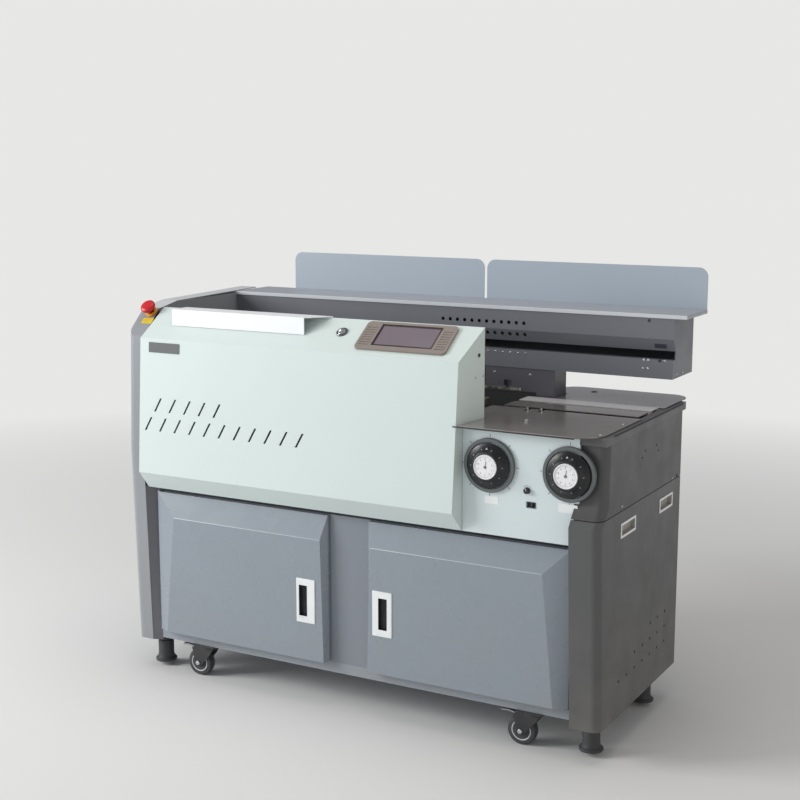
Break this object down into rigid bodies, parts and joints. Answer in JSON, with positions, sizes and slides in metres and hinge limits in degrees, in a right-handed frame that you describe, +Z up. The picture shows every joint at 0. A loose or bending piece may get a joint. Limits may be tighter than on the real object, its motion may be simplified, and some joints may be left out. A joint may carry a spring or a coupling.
{
  "type": "perfect binding machine",
  "caption": "Floor-standing perfect binder: cabinet on casters with a sloping housing, touch screen, clamp carriage in a long beam, cover table with two hand wheels.",
  "frame": {"origin": "on the floor under the middle of the whole machine's bounding box", "axes": "+X to the right along the machine, +Y to the back, +Z up; the housing, doors and hand wheels face -Y"},
  "size_m": [1.438, 0.697, 1.15],
  "materials": {
    "mint_sheet": "smooth powder coat, slightly glossy",
    "grey_sheet": "fine textured powder coat",
    "door_sheet": "smooth powder coat",
    "beam_sheet": "satin powder coat",
    "tray_sheet": "satin powder coat",
    "white_sheet": "smooth powder coat",
    "table_metal": "satin plate",
    "bright_steel": "ground",
    "inner_steel": "satin paint",
    "zinc": "zinc plated",
    "black_plastic": "fine matt",
    "wheel_black": "satin gloss with a white dial",
    "ring_grey": "anodised",
    "bezel_plastic": "fine matt",
    "screen": "glossy touch panel",
    "red_plastic": "satin",
    "yellow_plastic": "satin",
    "chrome": "polished",
    "pull_white": "satin",
    "tyre": "matt tread",
    "foot": "moulded over steel",
    "glue_metal": "cast"
  },
  "bodies": {
    "cabinet": {"left_side_panel": "grey_sheet", "right_side_panel": "grey_sheet", "right_upper_panel": "grey_sheet", "rear_panel": "grey_sheet", "base_frame": "inner_steel", "door_frame": "door_sheet", "machine_deck": "inner_steel", "front_housing": "mint_sheet", "loading_shelf": "white_sheet", "screen_bezel": "bezel_plastic", "screen_glass": "screen", "wheel_panel": "mint_sheet", "wheel_rings": "ring_grey", "stop_collar": "yellow_plastic", "beam_housing": "beam_sheet", "carriage_rails": "bright_steel", "beam_columns": "beam_sheet", "top_tray": "tray_sheet", "back_plates": "tray_sheet", "table_frame": "inner_steel", "front_table_plate": "table_metal", "rear_table_plate": "table_metal", "rear_nip_jaw": "bright_steel", "motors": "inner_steel", "glue_tank": "glue_metal", "electrical_box": "grey_sheet", "waste_bin": "zinc", "side_pulls": "pull_white", "caster_plates": "zinc"},
    "left_door": {"left_door": "door_sheet", "left_door_pull": "pull_white"},
    "right_door": {"right_door": "door_sheet", "right_door_pull": "pull_white"},
    "stop_stem": {"stop_stem": "black_plastic"},
    "stop_head": {"stop_head": "red_plastic"},
    "start_button": {"start_button": "chrome"},
    "register_wheel": {"register_wheel": "wheel_black"},
    "nip_wheel": {"nip_wheel": "wheel_black"},
    "register_gauge": {"register_gauge": "bright_steel"},
    "front_nip_jaw": {"front_nip_jaw": "table_metal"},
    "carriage": {"carriage": "bright_steel"},
    "front_clamp_jaw": {"front_clamp_jaw": "bright_steel"},
    "first_glue_roller": {"first_glue_roller": "bright_steel"},
    "second_glue_roller": {"second_glue_roller": "bright_steel"},
    "mill_cutter": {"mill_cutter": "bright_steel"},
    "selector_knob": {"selector_knob": "black_plastic"},
    "front_left_caster_fork": {"front_left_caster_fork": "zinc"},
    "front_left_caster_wheel": {"front_left_caster_wheel": "tyre"},
    "front_left_foot": {"front_left_foot": "foot"},
    "rear_left_caster_fork": {"rear_left_caster_fork": "zinc"},
    "rear_left_caster_wheel": {"rear_left_caster_wheel": "tyre"},
    "rear_left_foot": {"rear_left_foot": "foot"},
    "front_right_caster_fork": {"front_right_caster_fork": "zinc"},
    "front_right_caster_wheel": {"front_right_caster_wheel": "tyre"},
    "front_right_foot": {"front_right_foot": "foot"},
    "rear_right_caster_fork": {"rear_right_caster_fork": "zinc"},
    "rear_right_caster_wheel": {"rear_right_caster_wheel": "tyre"},
    "rear_right_foot": {"rear_right_foot": "foot"},
    "front_left_caster_pedal": {"front_left_caster_pedal": "black_plastic"},
    "front_right_caster_pedal": {"front_right_caster_pedal": "black_plastic"}
  },
  "joints": [
    {"name": "left_door_hinge", "type": "hinge", "parent": "cabinet", "child": "left_door", "pos_m": [-0.6315, -0.285, 0.325], "axis": [0, 0, -1], "range_deg": [0, 105]},
    {"name": "right_door_hinge", "type": "hinge", "parent": "cabinet", "child": "right_door", "pos_m": [0.5895, -0.285, 0.325], "axis": [0, 0, 1], "range_deg": [0, 78]},
    {"name": "stop_press", "type": "slide", "parent": "cabinet", "child": "stop_stem", "axis": [0, 0.6919, -0.722], "range_m": [0, 0.005], "stiffness_N_per_m": 1500},
    {"name": "stop_twist", "type": "hinge", "parent": "stop_stem", "child": "stop_head", "pos_m": [-0.681, -0.24869, 1.02556], "axis": [0, 0.6919, -0.722], "range_deg": [0, 30], "stiffness_Nm_per_rad": 0.3},
    {"name": "start_press", "type": "slide", "parent": "cabinet", "child": "start_button", "axis": [0, 0.5724, -0.82], "range_m": [0, 0.003], "stiffness_N_per_m": 800},
    {"name": "register_turn", "type": "hinge", "parent": "cabinet", "child": "register_wheel", "pos_m": [0.388, -0.3415, 0.709], "axis": [0, 1, 0], "range_deg": [-1080, 1080]},
    {"name": "register_travel", "type": "slide", "parent": "cabinet", "child": "register_gauge", "axis": [0, 1, 0], "range_m": [-0.01205, 0.01205]},
    {"name": "nip_turn", "type": "hinge", "parent": "cabinet", "child": "nip_wheel", "pos_m": [0.593, -0.3415, 0.709], "axis": [0, 1, 0], "range_deg": [-1800, 1620]},
    {"name": "nip_travel", "type": "slide", "parent": "cabinet", "child": "front_nip_jaw", "axis": [0, 1, 0], "range_m": [-0.02005, 0.01805]},
    {"name": "carriage_travel", "type": "slide", "parent": "cabinet", "child": "carriage", "axis": [1, 0, 0], "range_m": [0, 0.92]},
    {"name": "clamp_travel", "type": "slide", "parent": "carriage", "child": "front_clamp_jaw", "axis": [0, 1, 0], "range_m": [-0.02, 0.0295]},
    {"name": "first_roller_spin", "type": "hinge", "parent": "cabinet", "child": "first_glue_roller", "pos_m": [0.033, 0.0585, 0.771], "axis": [0, 1, 0], "continuous": true},
    {"name": "second_roller_spin", "type": "hinge", "parent": "cabinet", "child": "second_glue_roller", "pos_m": [0.119, 0.0585, 0.771], "axis": [0, 1, 0], "continuous": true},
    {"name": "cutter_spin", "type": "hinge", "parent": "cabinet", "child": "mill_cutter", "pos_m": [-0.159, 0.0445, 0.79], "axis": [0, 0, 1], "continuous": true},
    {"name": "selector_turn", "type": "hinge", "parent": "cabinet", "child": "selector_knob", "pos_m": [0.486, -0.3165, 0.658], "axis": [0, 1, 0], "range_deg": [-45, 45]},
    {"name": "front_left_swivel", "type": "hinge", "parent": "cabinet", "child": "front_left_caster_fork", "pos_m": [-0.497, -0.2505, 0.085], "axis": [0, 0, 1], "continuous": true},
    {"name": "front_left_roll", "type": "hinge", "parent": "front_left_caster_fork", "child": "front_left_caster_wheel", "pos_m": [-0.527, -0.2505, 0.0375], "axis": [0, 1, 0], "continuous": true},
    {"name": "front_left_brake", "type": "hinge", "parent": "front_left_caster_fork", "child": "front_left_caster_pedal", "pos_m": [-0.539, -0.2505, 0.0795], "axis": [0, -1, 0], "range_deg": [0, 12]},
    {"name": "rear_left_swivel", "type": "hinge", "parent": "cabinet", "child": "rear_left_caster_fork", "pos_m": [-0.497, 0.1585, 0.085], "axis": [0, 0, 1], "continuous": true},
    {"name": "rear_left_roll", "type": "hinge", "parent": "rear_left_caster_fork", "child": "rear_left_caster_wheel", "pos_m": [-0.527, 0.1585, 0.0375], "axis": [0, 1, 0], "continuous": true},
    {"name": "front_right_swivel", "type": "hinge", "parent": "cabinet", "child": "front_right_caster_fork", "pos_m": [0.489, -0.2505, 0.085], "axis": [0, 0, 1], "continuous": true},
    {"name": "front_right_roll", "type": "hinge", "parent": "front_right_caster_fork", "child": "front_right_caster_wheel", "pos_m": [0.459, -0.2505, 0.0375], "axis": [0, 1, 0], "continuous": true},
    {"name": "front_right_brake", "type": "hinge", "parent": "front_right_caster_fork", "child": "front_right_caster_pedal", "pos_m": [0.447, -0.2505, 0.0795], "axis": [0, -1, 0], "range_deg": [0, 12]},
    {"name": "rear_right_swivel", "type": "hinge", "parent": "cabinet", "child": "rear_right_caster_fork", "pos_m": [0.489, 0.1585, 0.085], "axis": [0, 0, 1], "continuous": true},
    {"name": "rear_right_roll", "type": "hinge", "parent": "rear_right_caster_fork", "child": "rear_right_caster_wheel", "pos_m": [0.459, 0.1585, 0.0375], "axis": [0, 1, 0], "continuous": true},
    {"name": "front_left_foot_screw", "type": "slide", "parent": "cabinet", "child": "front_left_foot", "axis": [0, 0, 1], "range_m": [-0.0118, 0.01]},
    {"name": "rear_left_foot_screw", "type": "slide", "parent": "cabinet", "child": "rear_left_foot", "axis": [0, 0, 1], "range_m": [-0.0118, 0.01]},
    {"name": "front_right_foot_screw", "type": "slide", "parent": "cabinet", "child": "front_right_foot", "axis": [0, 0, 1], "range_m": [-0.0118, 0.01]},
    {"name": "rear_right_foot_screw", "type": "slide", "parent": "cabinet", "child": "rear_right_foot", "axis": [0, 0, 1], "range_m": [-0.0118, 0.01]}
  ],
  "couplings": [
    {"joint": "register_travel", "follows": "register_turn", "m_per_rad": 0.00063662},
    {"joint": "nip_travel", "follows": "nip_turn", "m_per_rad": 0.00063662},
    {"joint": "second_roller_spin", "follows": "first_roller_spin", "ratio": 1}
  ]
}
